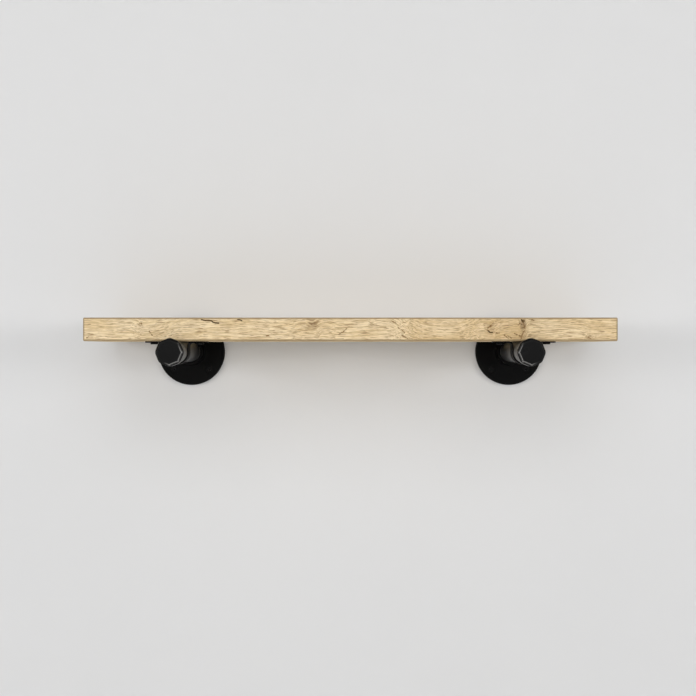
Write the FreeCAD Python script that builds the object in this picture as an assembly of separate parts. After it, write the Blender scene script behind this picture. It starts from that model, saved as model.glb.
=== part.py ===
import FreeCAD, Part
import math
import os

# Wall shelf: a wooden board on two pipe brackets.
#
# Millimetres. X runs along the shelf, +Y points into the wall and +Z up.
# The origin is on the wall's face, midway between the two brackets, at the height of the
# pipes' axes. "out" in the code is the distance from the wall's face, so y = -out.

# Board
BOARD_LENGTH = 601.0
BOARD_THICKNESS = 26.5
BOARD_FRONT = 150.0
BOARD_EDGE_RADIUS = 1.5

# Brackets
BRACKET_SPACING = 400.0
CLEARANCE = 0.15

# Pipe: both ends are threaded, and a little thread is left showing at each fitting
PIPE_RADIUS = 12.5
PIPE_BORE_RADIUS = 9.75
PIPE_BACK = 1.0
PIPE_FRONT = 166.0
PIPE_THREAD_PITCH = 1.8
PIPE_THREAD_CREST = 12.4
PIPE_THREAD_ROOT = 11.4
THREAD_RUN_OUT = 1.2
BACK_THREAD_TURNS = 11
FRONT_THREAD_TURNS = 10

# Wall flange
FLANGE_RADIUS = 41.8
FLANGE_PLATE = 5.5
FLANGE_HEIGHT = 18.0
HUB_BASE_RADIUS = 17.0
HUB_RIM_RADIUS = 15.8
HUB_FILLET = 2.5
HUB_RIM_FILLET = 0.9
PLATE_RIM_FILLET = 1.6
HUB_THREAD_TURNS = 9
SCREW_CIRCLE_RADIUS = 31.5
SCREW_COUNT = 4
SCREW_HOLE_RADIUS = 2.7
COUNTERSINK_RADIUS = 5.1

# End cap: a well rounded octagon at the front, then a neck and a round band
CAP_FACE = 172.0
CAP_BACK = 150.4
CAP_ACROSS_FLATS = 30.2
CAP_CORNER_RADIUS = 7.5
CAP_BEVEL = 2.4
CAP_BACK_BEVEL = 0.6
CAP_OCTAGON_BACK = 159.5
CAP_NECK_FRONT_RADIUS = 13.5
CAP_NECK_RADIUS = 13.8
CAP_BAND_RADIUS = 14.4
CAP_BAND_WIDTH = 4.0
CAP_BAND_STEP = 0.8
CAP_BAND_FILLET = 0.9
CAP_WALL = 4.0
CAP_THREAD_TURNS = 8
CAP_MOUTH_CLEARANCE = 0.4
CAP_END_CLEARANCE = 0.5
CAP_THREAD_LEAD = 0.35

# Pipe strap
STRAP_MIDDLE = 115.6
STRAP_WIDTH = 16.0
STRAP_THICKNESS = 1.6
STRAP_FIT = 0.1
STRAP_HALF_SPAN = 36.0
STRAP_BEND_RADIUS = 3.5
STRAP_CORNER_RADIUS = 2.0
STRAP_SCREW_OFFSET = 26.5
STRAP_HOLE_RADIUS = 2.3

# Screws: a recess is its blades' width, its span across the head, and its depth
WALL_SCREW_LENGTH = 40.0
WALL_SCREW_SINK = 0.3
WALL_SCREW_HEAD_RADIUS = 4.7
WALL_SCREW_SHANK = 2.3
WALL_SCREW_SHANK_END = 0.6
WALL_SCREW_CREST = 2.5
WALL_SCREW_ROOT = 1.8
WALL_SCREW_PITCH = 2.2
WALL_SCREW_RECESS = (1.1, 4.8, 2.3)
WALL_SCREW_TURNS = (20, 55, 90, 125)
STRAP_SCREW_LENGTH = 16.0
STRAP_SCREW_HEAD_RADIUS = 4.4
STRAP_SCREW_HEAD_HEIGHT = 1.9
STRAP_SCREW_HEAD_WALL = 1.5
STRAP_SCREW_SHANK = 1.85
STRAP_SCREW_SHANK_END = -2.2
STRAP_SCREW_CREST = 1.95
STRAP_SCREW_ROOT = 1.4
STRAP_SCREW_PITCH = 1.6
STRAP_SCREW_RECESS = (0.9, 4.0, 1.3)
STRAP_SCREW_TURNS = (15, 65)
SCREW_POINT_RADIUS = 0.15
PILOT_CLEARANCE = 0.1
PILOT_END_GAP = 0.6

# The board rests on the pipes, and its back edge stops against the flanges' hubs
BOARD_BOTTOM = PIPE_RADIUS
BOARD_BACK = FLANGE_HEIGHT

ORIGIN = FreeCAD.Vector(0, 0, 0)
X_AXIS = FreeCAD.Vector(1, 0, 0)
Y_AXIS = FreeCAD.Vector(0, 1, 0)
Z_AXIS = FreeCAD.Vector(0, 0, 1)


def turned(profile):
    """Solid of revolution about the Y axis, from (out, radius) points."""
    points = [FreeCAD.Vector(radius, -out, 0) for out, radius in profile]
    face = Part.Face(Part.makePolygon(points + points[:1]))
    return Part.Solid(face.revolve(ORIGIN, Y_AXIS, 360))


def rings(start, turns, pitch, root, crest):
    """Outline of thread ridges as (distance, radius) points, from start upwards."""
    points = []
    for turn in range(turns):
        base = start + turn * pitch
        points.append((base + 0.10 * pitch, root))
        points.append((base + 0.45 * pitch, crest))
        points.append((base + 0.65 * pitch, crest))
        points.append((base + 1.00 * pitch, root))
    return points


def circle_edges(solid, out, radius):
    """The solid's circular edges of this radius at this distance from the wall."""
    found = []
    for edge in solid.Edges:
        if not isinstance(edge.Curve, Part.Circle):
            continue
        centre = edge.Curve.Center
        if abs(centre.y + out) < 1e-4 and abs(edge.Curve.Radius - radius) < 1e-4:
            found.append(edge)
    return found


def edges_at(solid, y):
    """The solid's edges whose middle lies at this y."""
    return [edge for edge in solid.Edges if abs(edge.CenterOfMass.y - y) < 1e-6]


def make_pipe():
    """Black pipe with a thread at each end, as rings of ridges, and an open bore."""
    back_thread_end = PIPE_BACK + BACK_THREAD_TURNS * PIPE_THREAD_PITCH
    front_thread = PIPE_FRONT - FRONT_THREAD_TURNS * PIPE_THREAD_PITCH
    outline = [(PIPE_BACK, PIPE_BORE_RADIUS), (PIPE_BACK, PIPE_THREAD_ROOT)]
    outline += rings(PIPE_BACK, BACK_THREAD_TURNS, PIPE_THREAD_PITCH,
                     PIPE_THREAD_ROOT, PIPE_THREAD_CREST)
    outline.append((back_thread_end + THREAD_RUN_OUT, PIPE_RADIUS))
    outline.append((front_thread - THREAD_RUN_OUT, PIPE_RADIUS))
    outline.append((front_thread, PIPE_THREAD_ROOT))
    outline += rings(front_thread, FRONT_THREAD_TURNS, PIPE_THREAD_PITCH,
                     PIPE_THREAD_ROOT, PIPE_THREAD_CREST)
    outline.append((PIPE_FRONT, PIPE_BORE_RADIUS))
    return turned(outline)


def make_flange():
    """Round wall flange: a plate with four countersunk holes and a threaded hub."""
    mouth = PIPE_THREAD_CREST + 3 * CLEARANCE
    major = PIPE_THREAD_CREST + CLEARANCE
    minor = PIPE_THREAD_ROOT + CLEARANCE
    inside = [(0.0, mouth), (PIPE_BACK, minor)]
    inside += rings(PIPE_BACK, HUB_THREAD_TURNS, PIPE_THREAD_PITCH, minor, major)
    inside.append((FLANGE_HEIGHT, mouth))
    outside = [
        (FLANGE_HEIGHT, HUB_RIM_RADIUS),
        (FLANGE_PLATE, HUB_BASE_RADIUS),
        (FLANGE_PLATE, FLANGE_RADIUS),
        (0.0, FLANGE_RADIUS),
    ]
    flange = turned(inside + outside)
    flange = flange.makeFillet(HUB_FILLET, circle_edges(flange, FLANGE_PLATE, HUB_BASE_RADIUS))
    rim = circle_edges(flange, FLANGE_PLATE, FLANGE_RADIUS)
    flange = flange.makeFillet(PLATE_RIM_FILLET, rim)
    rim = circle_edges(flange, FLANGE_HEIGHT, HUB_RIM_RADIUS)
    flange = flange.makeFillet(HUB_RIM_FILLET, rim)
    depth = COUNTERSINK_RADIUS - SCREW_HOLE_RADIUS
    hole = turned([
        (-1.0, 0.0),
        (-1.0, SCREW_HOLE_RADIUS),
        (FLANGE_PLATE - depth, SCREW_HOLE_RADIUS),
        (FLANGE_PLATE, COUNTERSINK_RADIUS),
        (FLANGE_PLATE + 1.0, COUNTERSINK_RADIUS + 1.0),
        (FLANGE_PLATE + 1.0, 0.0),
    ])
    for x, z in screw_circle():
        cutter = hole.copy()
        cutter.translate(FreeCAD.Vector(x, 0, z))
        flange = flange.cut(cutter)
    return flange


def screw_circle():
    """Centres of the flange's screws, at 45 degrees to the board."""
    centres = []
    for i in range(SCREW_COUNT):
        angle = math.radians(45 + i * 360 / SCREW_COUNT)
        x = SCREW_CIRCLE_RADIUS * math.cos(angle)
        z = SCREW_CIRCLE_RADIUS * math.sin(angle)
        centres.append((x, z))
    return centres


def make_end_cap():
    """Octagonal end cap with a blind threaded bore; a corner of the octagon points up."""
    corner_radius = CAP_ACROSS_FLATS / 2 / math.cos(math.pi / 8)
    corners = []
    for i in range(8):
        angle = i * math.pi / 4
        x = corner_radius * math.cos(angle)
        z = corner_radius * math.sin(angle)
        corners.append(FreeCAD.Vector(x, -CAP_FACE, z))
    octagon = Part.Face(Part.makePolygon(corners + corners[:1]))
    head = octagon.extrude(FreeCAD.Vector(0, CAP_FACE - CAP_OCTAGON_BACK, 0))
    middle = -(CAP_FACE + CAP_OCTAGON_BACK) / 2
    head = head.makeFillet(CAP_CORNER_RADIUS, edges_at(head, middle))
    head = head.makeChamfer(CAP_BEVEL, edges_at(head, -CAP_FACE))
    head = head.makeChamfer(CAP_BACK_BEVEL, edges_at(head, -CAP_OCTAGON_BACK))

    band_front = CAP_BACK + CAP_BAND_WIDTH
    skirt = turned([
        (CAP_OCTAGON_BACK + CAP_BEVEL, 0.0),
        (CAP_OCTAGON_BACK + CAP_BEVEL, CAP_NECK_FRONT_RADIUS),
        (CAP_OCTAGON_BACK, CAP_NECK_FRONT_RADIUS),
        (band_front + CAP_BAND_STEP, CAP_NECK_RADIUS),
        (band_front, CAP_BAND_RADIUS),
        (CAP_BACK, CAP_BAND_RADIUS),
        (CAP_BACK, 0.0),
    ])
    skirt = skirt.makeFillet(CAP_BAND_FILLET, circle_edges(skirt, CAP_BACK, CAP_BAND_RADIUS))

    major = PIPE_THREAD_CREST + CLEARANCE
    minor = PIPE_THREAD_ROOT + CLEARANCE
    mouth = major + CAP_MOUTH_CLEARANCE
    thread_start = PIPE_FRONT - CAP_THREAD_TURNS * PIPE_THREAD_PITCH
    bore = [(CAP_BACK - 1.0, 0.0), (CAP_BACK - 1.0, mouth), (CAP_BACK, mouth)]
    bore.append((thread_start - CAP_THREAD_LEAD * PIPE_THREAD_PITCH, major))
    bore.append((thread_start, minor))
    bore += rings(thread_start, CAP_THREAD_TURNS, PIPE_THREAD_PITCH, minor, major)
    bore.append((PIPE_FRONT + CAP_END_CLEARANCE, major))
    bore.append((CAP_FACE - CAP_WALL, major))
    bore.append((CAP_FACE - CAP_WALL, 0.0))
    return head.fuse(skirt).cut(turned(bore)).removeSplitter()


def make_strap():
    """U-shaped strap under the pipe, with a tab each side that lies flat on the board."""
    inner = PIPE_RADIUS + STRAP_FIT
    outer = inner + STRAP_THICKNESS
    top = BOARD_BOTTOM
    under = top - STRAP_THICKNESS
    bend_x = outer + STRAP_BEND_RADIUS
    bend_z = under - STRAP_BEND_RADIUS
    diagonal = math.sqrt(0.5)
    front = -(STRAP_MIDDLE + STRAP_WIDTH / 2)

    def point(x, z):
        return FreeCAD.Vector(x, front, z)

    def line(a, b):
        return Part.LineSegment(a, b).toShape()

    def arc(a, middle, b):
        return Part.Arc(a, middle, b).toShape()

    def half(radius, level, bend, side):
        """One leg's outline: tab, bend, then down to the pipe's centre height."""
        knee = point(side * (bend_x - bend * diagonal), bend_z + bend * diagonal)
        tab_end = point(side * STRAP_HALF_SPAN, level)
        bend_top = point(side * bend_x, level)
        bend_foot = point(side * radius, bend_z)
        foot = point(side * radius, 0)
        return [line(tab_end, bend_top), arc(bend_top, knee, bend_foot), line(bend_foot, foot)]

    edges = []
    for radius, level, bend in ((outer, under, STRAP_BEND_RADIUS),
                                (inner, top, STRAP_BEND_RADIUS + STRAP_THICKNESS)):
        edges += half(radius, level, bend, 1)
        edges.append(arc(point(radius, 0), point(0, -radius), point(-radius, 0)))
        edges += half(radius, level, bend, -1)
    for end in (STRAP_HALF_SPAN, -STRAP_HALF_SPAN):
        edges.append(line(point(end, under), point(end, top)))
    outline = Part.Wire(Part.__sortEdges__(edges))
    strap = Part.Face(outline).extrude(FreeCAD.Vector(0, STRAP_WIDTH, 0))

    blank = Part.makeBox(2 * STRAP_HALF_SPAN, STRAP_WIDTH, 60,
                         FreeCAD.Vector(-STRAP_HALF_SPAN, front, -30))
    upright = [e for e in blank.Edges if abs(e.Vertexes[0].Z - e.Vertexes[1].Z) > 1]
    strap = strap.common(blank.makeFillet(STRAP_CORNER_RADIUS, upright))
    for side in (1, -1):
        centre = FreeCAD.Vector(side * STRAP_SCREW_OFFSET, -STRAP_MIDDLE, under - 5)
        strap = strap.cut(Part.makeCylinder(STRAP_HOLE_RADIUS, 10, centre, Z_AXIS))
    return strap


def cross_recess(width, span, depth, face_out):
    """Cross-shaped driver recess cut into a screw's face, tapering as it goes in."""
    arms = []
    for turn in (0, 90):
        corners = [
            FreeCAD.Vector(-span / 2, -face_out - 1.0, -width / 2),
            FreeCAD.Vector(span / 2, -face_out - 1.0, -width / 2),
            FreeCAD.Vector(span / 2, -face_out, -width / 2),
            FreeCAD.Vector(span / 4, -face_out + depth, -width / 2),
            FreeCAD.Vector(-span / 4, -face_out + depth, -width / 2),
            FreeCAD.Vector(-span / 2, -face_out, -width / 2),
        ]
        face = Part.Face(Part.makePolygon(corners + corners[:1]))
        arm = face.extrude(FreeCAD.Vector(0, 0, width))
        arm.rotate(ORIGIN, Y_AXIS, turn)
        arms.append(arm)
    return arms[0].fuse(arms[1])


def make_screw(head, shank_end, root, crest, pitch, length, recess):
    """A wood screw along the Y axis: head outline, plain shank, thread ridges and a point.

    The head's outline is a list of (out, radius) points from the face down to the shank.
    """
    face_out = head[0][0]
    tip = face_out - length
    point_length = 3 * root
    turns = int((shank_end - tip - point_length) / pitch)
    ridge_start = shank_end - turns * pitch
    profile = [(face_out, 0.0)] + head + [(shank_end, head[-1][1])]
    profile += list(reversed(rings(ridge_start, turns, pitch, root, crest)))
    profile += [(tip, SCREW_POINT_RADIUS), (tip, 0.0)]
    return turned(profile).cut(cross_recess(*recess, face_out))


def make_wall_screws():
    """Four countersunk screws, heads in the flange and threads out of its back."""
    face_out = FLANGE_PLATE - WALL_SCREW_SINK
    slope = WALL_SCREW_HEAD_RADIUS - WALL_SCREW_SHANK
    head = [(face_out, WALL_SCREW_HEAD_RADIUS), (face_out - slope, WALL_SCREW_SHANK)]
    screw = make_screw(head, WALL_SCREW_SHANK_END, WALL_SCREW_ROOT, WALL_SCREW_CREST,
                       WALL_SCREW_PITCH, WALL_SCREW_LENGTH, WALL_SCREW_RECESS)
    screws = []
    for turn, (x, z) in zip(WALL_SCREW_TURNS, screw_circle()):
        placed = screw.copy()
        placed.rotate(ORIGIN, Y_AXIS, turn)
        placed.translate(FreeCAD.Vector(x, 0, z))
        screws.append(placed)
    return screws


def make_strap_screws():
    """Two pan-head screws through the strap's tabs, up into the board."""
    height = STRAP_SCREW_HEAD_HEIGHT
    wall = STRAP_SCREW_HEAD_WALL
    radius = STRAP_SCREW_HEAD_RADIUS
    head = []
    for degrees in range(60, -1, -15):
        dome = math.radians(degrees)
        rise = (height - wall) * math.sin(dome) / math.sin(math.radians(60))
        head.append((wall + rise, radius * (0.5 + 0.5 * math.cos(dome))))
    head += [(0.0, radius), (0.0, STRAP_SCREW_SHANK)]
    screw = make_screw(head, STRAP_SCREW_SHANK_END, STRAP_SCREW_ROOT, STRAP_SCREW_CREST,
                       STRAP_SCREW_PITCH, STRAP_SCREW_LENGTH + height, STRAP_SCREW_RECESS)
    under = BOARD_BOTTOM - STRAP_THICKNESS
    screws = []
    for turn, side in zip(STRAP_SCREW_TURNS, (-1, 1)):
        placed = screw.copy()
        placed.rotate(ORIGIN, Y_AXIS, turn)
        placed.rotate(ORIGIN, X_AXIS, 90)
        placed.translate(FreeCAD.Vector(side * STRAP_SCREW_OFFSET, -STRAP_MIDDLE, under))
        screws.append(placed)
    return screws


def make_board():
    """Board with eased edges and four blind holes for the strap screws."""
    corner = FreeCAD.Vector(-BOARD_LENGTH / 2, -BOARD_FRONT, BOARD_BOTTOM)
    board = Part.makeBox(BOARD_LENGTH, BOARD_FRONT - BOARD_BACK, BOARD_THICKNESS, corner)
    board = board.makeFillet(BOARD_EDGE_RADIUS, board.Edges)
    depth = STRAP_SCREW_LENGTH - STRAP_THICKNESS + PILOT_END_GAP
    for middle in bracket_centres():
        for side in (1, -1):
            mouth = FreeCAD.Vector(middle + side * STRAP_SCREW_OFFSET, -STRAP_MIDDLE,
                                   BOARD_BOTTOM - 1.0)
            pilot = STRAP_SCREW_CREST + PILOT_CLEARANCE
            board = board.cut(Part.makeCylinder(pilot, depth + 1.0, mouth, Z_AXIS))
    return board


def bracket_centres():
    return (-BRACKET_SPACING / 2, BRACKET_SPACING / 2)


def save(name, solids, x=0.0):
    """Write one node: a single solid, or a group of identical fasteners."""
    placed = []
    for solid in solids:
        moved = solid.copy()
        moved.translate(FreeCAD.Vector(x, 0, 0))
        placed.append(moved.Solids[0])
    shape = placed[0] if len(placed) == 1 else Part.makeCompound(placed)
    shape.exportStep("parts/" + name + ".step")


os.makedirs("parts", exist_ok=True)

bracket = {
    "flange": [make_flange()],
    "wall_screws": make_wall_screws(),
    "pipe": [make_pipe()],
    "end_cap": [make_end_cap()],
    "strap": [make_strap()],
    "strap_screws": make_strap_screws(),
}

save("board", [make_board()])
for side, middle in zip(("left", "right"), bracket_centres()):
    for piece, solids in bracket.items():
        save(side + "_" + piece, solids, middle)
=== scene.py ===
import math

import bmesh
import bpy
import numpy as np
from mathutils import Matrix, Vector


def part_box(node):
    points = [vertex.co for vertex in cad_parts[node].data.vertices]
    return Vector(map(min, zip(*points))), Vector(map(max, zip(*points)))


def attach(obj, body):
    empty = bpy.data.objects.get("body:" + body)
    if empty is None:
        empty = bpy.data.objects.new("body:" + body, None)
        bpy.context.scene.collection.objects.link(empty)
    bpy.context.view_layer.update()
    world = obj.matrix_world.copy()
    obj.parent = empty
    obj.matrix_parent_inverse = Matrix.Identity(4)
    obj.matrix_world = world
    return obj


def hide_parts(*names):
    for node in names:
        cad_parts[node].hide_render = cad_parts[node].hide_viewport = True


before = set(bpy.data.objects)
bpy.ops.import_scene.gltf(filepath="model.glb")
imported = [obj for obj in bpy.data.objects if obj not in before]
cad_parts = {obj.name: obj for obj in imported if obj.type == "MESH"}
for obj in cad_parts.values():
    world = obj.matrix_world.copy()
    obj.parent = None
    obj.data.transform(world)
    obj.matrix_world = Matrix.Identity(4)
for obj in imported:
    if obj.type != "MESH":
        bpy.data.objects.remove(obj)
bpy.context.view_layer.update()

# The looks of a wall shelf: a timber board on two black pipe brackets.
#
# The frame is the CAD model's: X along the shelf, +Y into the wall, +Z up, origin on the wall
# between the brackets at the height of the pipes' axes. Shapes are worked out in millimetres,
# as rings of points that are joined into skins, and turned into metres once, in raw_mesh().
# "out" is the distance from the wall's face, so y = -out.

MM = 0.001
SIDES = ("left", "right")

# ---------------------------------------------------------------- sizes, from the frame


def node_box(node):
    """Lowest and highest corner of a CAD node, in millimetres."""
    low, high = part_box(node)
    return np.array(low) / MM, np.array(high) / MM


BOARD_LOW, BOARD_HIGH = node_box("board")
PIPE_LOW, PIPE_HIGH = node_box("left_pipe")
FLANGE_LOW, FLANGE_HIGH = node_box("left_flange")
CAP_LOW, CAP_HIGH = node_box("left_end_cap")
STRAP_LOW, STRAP_HIGH = node_box("left_strap")
WALL_SCREW_LOW, WALL_SCREW_HIGH = node_box("left_wall_screws")
STRAP_SCREW_LOW, STRAP_SCREW_HIGH = node_box("left_strap_screws")

BOARD_ARRIS = 1.5
LOW_ARRIS_REACH = np.array([1.9, 2.3, 2.3])
HIGH_ARRIS_REACH = np.array([1.9, 2.3, 1.9])
BOARD_FRONT = -BOARD_LOW[1]
BOARD_BACK = -BOARD_HIGH[1]
BOARD_BOTTOM = BOARD_LOW[2]
BOARD_MIDDLE = (BOARD_LOW[2] + BOARD_HIGH[2]) / 2

PIPE_RADIUS = (PIPE_HIGH[2] - PIPE_LOW[2]) / 2
PIPE_BORE = 9.75
PIPE_BACK = -PIPE_HIGH[1]
PIPE_FRONT = -PIPE_LOW[1]
THREAD_PITCH = 1.8
THREAD_CREST = 12.4
THREAD_DEPTH = 1.0
BACK_THREAD_END = 20.8
FRONT_THREAD_START = 148.0
# Painted sheen: the tube is drawn paler from the first of these distances to the second and on to
# the front, darker towards the flange.
PAINTED_SHEEN_FROM = 60.0
PAINTED_SHEEN_TO = 115.0

FLANGE_RADIUS = (FLANGE_HIGH[2] - FLANGE_LOW[2]) / 2
FLANGE_HEIGHT = -FLANGE_LOW[1]
FLANGE_PLATE = 5.5
HUB_BASE = 17.0
HUB_RIM = 15.8
FITTING_BORE = 12.6
SCREW_CIRCLE = 31.5
SCREW_ANGLES = (45, 135, 225, 315)
SCREW_HOLE = 2.7
COUNTERSINK = 5.1

CAP_FACE = -CAP_LOW[1]
CAP_BACK = -CAP_HIGH[1]
CAP_FLAT = 15.1
CAP_CORNER = 7.5
CAP_BEVEL = 2.4
CAP_OCTAGON_BACK = 159.5
CAP_NECK = 13.8
CAP_BAND = 14.4
CAP_BAND_WIDTH = 4.0
CAP_WALL = 4.0

STRAP_MIDDLE = -(STRAP_LOW[1] + STRAP_HIGH[1]) / 2
STRAP_WIDTH = STRAP_HIGH[1] - STRAP_LOW[1]
STRAP_HALF_SPAN = (STRAP_HIGH[0] - STRAP_LOW[0]) / 2
STRAP_THICKNESS = 1.6
STRAP_BEND = 3.5
STRAP_CORNER = 2.0
STRAP_SCREW_OFFSET = 26.5
STRAP_HOLE = 2.3

WALL_SCREW_HEAD = 4.7
WALL_SCREW_SHANK = 2.3
WALL_SCREW_HEAD_DEPTH = 2.4
WALL_SCREW_FACE = -WALL_SCREW_LOW[1]
WALL_SCREW_LENGTH = WALL_SCREW_HIGH[1] - WALL_SCREW_LOW[1]
STRAP_SCREW_HEAD = 4.4
STRAP_SCREW_SHANK = 1.85
STRAP_SCREW_HEIGHT = 1.9
STRAP_SCREW_LENGTH = STRAP_SCREW_HIGH[2] - STRAP_SCREW_LOW[2]

WALL_GAP = 0.0006
FLOOR_HEIGHT = -0.80

# ---------------------------------------------------------------- building skins from rings


def ring(out, radius, count=96):
    """A circle of points about the pipe's axis."""
    angle = np.arange(count) * 2 * math.pi / count
    return np.stack([radius * np.cos(angle), np.full(count, -out), radius * np.sin(angle)], 1)


def pole(out):
    return np.array([[0.0, -out, 0.0]])


def skin(rings, loop=False):
    """Joins rings of points by faces. A ring of one point is a pole; loop joins the ends."""
    starts = np.cumsum([0] + [len(r) for r in rings])
    faces = []
    pairs = list(zip(range(len(rings) - 1), range(1, len(rings))))
    if loop:
        pairs.append((len(rings) - 1, 0))
    for a, b in pairs:
        count = max(len(rings[a]), len(rings[b]))
        for i in range(count):
            j = (i + 1) % count
            corners = []
            for which, k in ((a, i), (a, j), (b, j), (b, i)):
                corner = int(starts[which] + (k if len(rings[which]) > 1 else 0))
                if corner not in corners:
                    corners.append(corner)
            faces.append(corners)
    return np.concatenate(rings), faces


def soften(outline, radius, steps=4):
    """Rounds the inner corners of an open (out, radius) outline with small arcs."""
    points = [np.array(p, float) for p in outline]
    soft = [points[0]]
    for before, corner, after in zip(points, points[1:], points[2:]):
        back, ahead = before - corner, after - corner
        reach = min(radius, 0.45 * np.linalg.norm(back), 0.45 * np.linalg.norm(ahead))
        start = corner + back / np.linalg.norm(back) * reach
        end = corner + ahead / np.linalg.norm(ahead) * reach
        for i in range(steps + 1):
            t = i / steps
            soft.append((1 - t) ** 2 * start + 2 * t * (1 - t) * corner + t * t * end)
    soft.append(points[-1])
    return soft


def thread_rings(start, end, crest, depth, pitch, plain_start, plain_end, step=0.15, count=96):
    """Rings of a helical thread, fading to the plain radius at either end if it is given.

    Crests and roots are each 18 percent of the pitch wide, with straight flanks between them.
    """
    angle = np.arange(count) * 2 * math.pi / count
    rows = max(2, int(abs(end - start) / step))
    rings = []
    for i in range(rows + 1):
        out = start + (end - start) * i / rows
        phase = (out / pitch + angle / (2 * math.pi)) % 1.0
        groove = np.clip((np.abs(phase - 0.5) * 2 - 0.18) / 0.64, 0, 1)
        radius = crest - depth * groove
        for limit, plain in ((start, plain_start), (end, plain_end)):
            if plain is not None:
                fade = min(1.0, abs(out - limit) / (1.6 * pitch))
                radius = plain + (radius - plain) * fade * fade * (3 - 2 * fade)
        points = [radius * np.cos(angle), np.full(count, -out), radius * np.sin(angle)]
        rings.append(np.stack(points, 1))
    return rings


def moved(points, shift=(0, 0, 0), turn=0.0, axis="Y"):
    """Points turned about an axis through the origin, in degrees, then shifted."""
    matrix = np.array(Matrix.Rotation(math.radians(turn), 3, axis))
    return points @ matrix.T + np.array(shift, float)


def raw_mesh(name, points, faces):
    """A mesh with its faces turned outwards, from points in millimetres."""
    mesh = bpy.data.meshes.new(name)
    mesh.from_pydata((np.asarray(points) * MM).tolist(), [], faces)
    shape = bmesh.new()
    shape.from_mesh(mesh)
    bmesh.ops.remove_doubles(shape, verts=shape.verts, dist=1e-7)
    bmesh.ops.recalc_face_normals(shape, faces=shape.faces)
    shape.to_mesh(mesh)
    shape.free()
    return mesh


def places(mesh):
    """The mesh's points in the row frame, in millimetres."""
    flat = np.zeros(len(mesh.vertices) * 3)
    mesh.vertices.foreach_get("co", flat)
    return flat.reshape(-1, 3) / MM


def add_piece(name, mesh, material, node, sharp=32.0):
    """Shows a mesh as a piece that stands for a CAD node and rides on the shelf."""
    mesh.polygons.foreach_set("use_smooth", [True] * len(mesh.polygons))
    mesh.set_sharp_from_angle(angle=math.radians(sharp))
    mesh.materials.clear()
    mesh.materials.append(material)
    piece = bpy.data.objects.new(name, mesh)
    bpy.context.scene.collection.objects.link(piece)
    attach(piece, "root")
    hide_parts(node)
    return piece


def carved(mesh, cutters):
    """The mesh with the cutters, which are closed meshes too, taken out of it."""
    body = bpy.data.objects.new("carve_body", mesh)
    bpy.context.scene.collection.objects.link(body)
    tools = []
    for cutter in cutters:
        tool = bpy.data.objects.new("carve_tool", cutter)
        bpy.context.scene.collection.objects.link(tool)
        tools.append(tool)
        cut = body.modifiers.new("cut", "BOOLEAN")
        cut.operation = "DIFFERENCE"
        cut.solver = "EXACT"
        cut.object = tool
    graph = bpy.context.evaluated_depsgraph_get()
    result = bpy.data.meshes.new_from_object(body.evaluated_get(graph), depsgraph=graph)
    for item in [body] + tools:
        bpy.data.objects.remove(item)
    return result


def cross_cutter(width, span, depth, face_out):
    """Two crossing tapered blades that cut a driver recess into a screw's face."""
    blades = []
    for turn in (0, 90):
        rings = []
        stations = ((face_out + 1, span / 2), (face_out, span / 2), (face_out - depth, span / 4))
        for out, half in stations:
            thick = width / 2 * (1.0 if out >= face_out else 0.75)
            corners = [(half, thick), (-half, thick), (-half, -thick), (half, -thick)]
            rings.append(np.array([(x, -out, z) for x, z in corners]))
        points, faces = skin(rings)
        faces += [[0, 1, 2, 3], [8, 9, 10, 11]]
        blades.append(raw_mesh("blade", moved(points, turn=turn), faces))
    return blades


# ---------------------------------------------------------------- materials


class Shader:
    """A short way to build one material's node tree."""

    def __init__(self, name):
        self.material = bpy.data.materials.new(name)
        self.material.use_nodes = True
        self.tree = self.material.node_tree
        self.tree.nodes.clear()
        self.surface = self.node("ShaderNodeBsdfPrincipled")
        output = self.node("ShaderNodeOutputMaterial")
        self.tree.links.new(self.surface.outputs["BSDF"], output.inputs["Surface"])

    def node(self, kind, **settings):
        made = self.tree.nodes.new(kind)
        for key, value in settings.items():
            setattr(made, key, value)
        return made

    def feed(self, socket, value):
        if isinstance(value, bpy.types.NodeSocket):
            self.tree.links.new(value, socket)
        else:
            socket.default_value = value

    def math(self, operation, a, b=0.0, clamp=False):
        made = self.node("ShaderNodeMath", operation=operation, use_clamp=clamp)
        self.feed(made.inputs[0], a)
        self.feed(made.inputs[1], b)
        return made.outputs[0]

    def span(self, value, low, high, to_low=0.0, to_high=1.0):
        """value taken smoothly from low..high to to_low..to_high."""
        made = self.node("ShaderNodeMapRange", interpolation_type="SMOOTHSTEP", clamp=True)
        for socket, number in zip(made.inputs, (value, low, high, to_low, to_high)):
            self.feed(socket, number)
        return made.outputs[0]

    def mix(self, share, a, b):
        made = self.node("ShaderNodeMix", data_type="RGBA", blend_type="MIX")
        self.feed(made.inputs[0], share)
        self.feed(made.inputs[6], a)
        self.feed(made.inputs[7], b)
        return made.outputs[2]

    def scaled(self, vector, scale, offset=(0, 0, 0)):
        made = self.node("ShaderNodeMapping")
        self.feed(made.inputs["Vector"], vector)
        made.inputs["Scale"].default_value = scale
        made.inputs["Location"].default_value = offset
        return made.outputs[0]

    def noise(self, vector, scale=1.0, detail=3.0, roughness=0.5):
        made = self.node("ShaderNodeTexNoise")
        self.feed(made.inputs["Vector"], vector)
        made.inputs["Scale"].default_value = scale
        made.inputs["Detail"].default_value = detail
        made.inputs["Roughness"].default_value = roughness
        return made.outputs["Fac"]

    def attribute(self, name):
        return self.node("ShaderNodeAttribute", attribute_name=name)

    def place(self):
        """The surface point in the row frame, in millimetres."""
        coordinates = self.node("ShaderNodeTexCoord")
        return self.scaled(coordinates.outputs["Object"], (1 / MM,) * 3)

    def bump(self, height, distance):
        """Relief of the given height, its full range the distance in millimetres."""
        made = self.node("ShaderNodeBump")
        made.inputs["Distance"].default_value = distance * MM
        made.inputs["Strength"].default_value = 1.0
        self.feed(made.inputs["Height"], height)
        return made.outputs[0]

    def set(self, **inputs):
        for name, value in inputs.items():
            self.feed(self.surface.inputs[name.replace("_", " ")], value)


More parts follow.
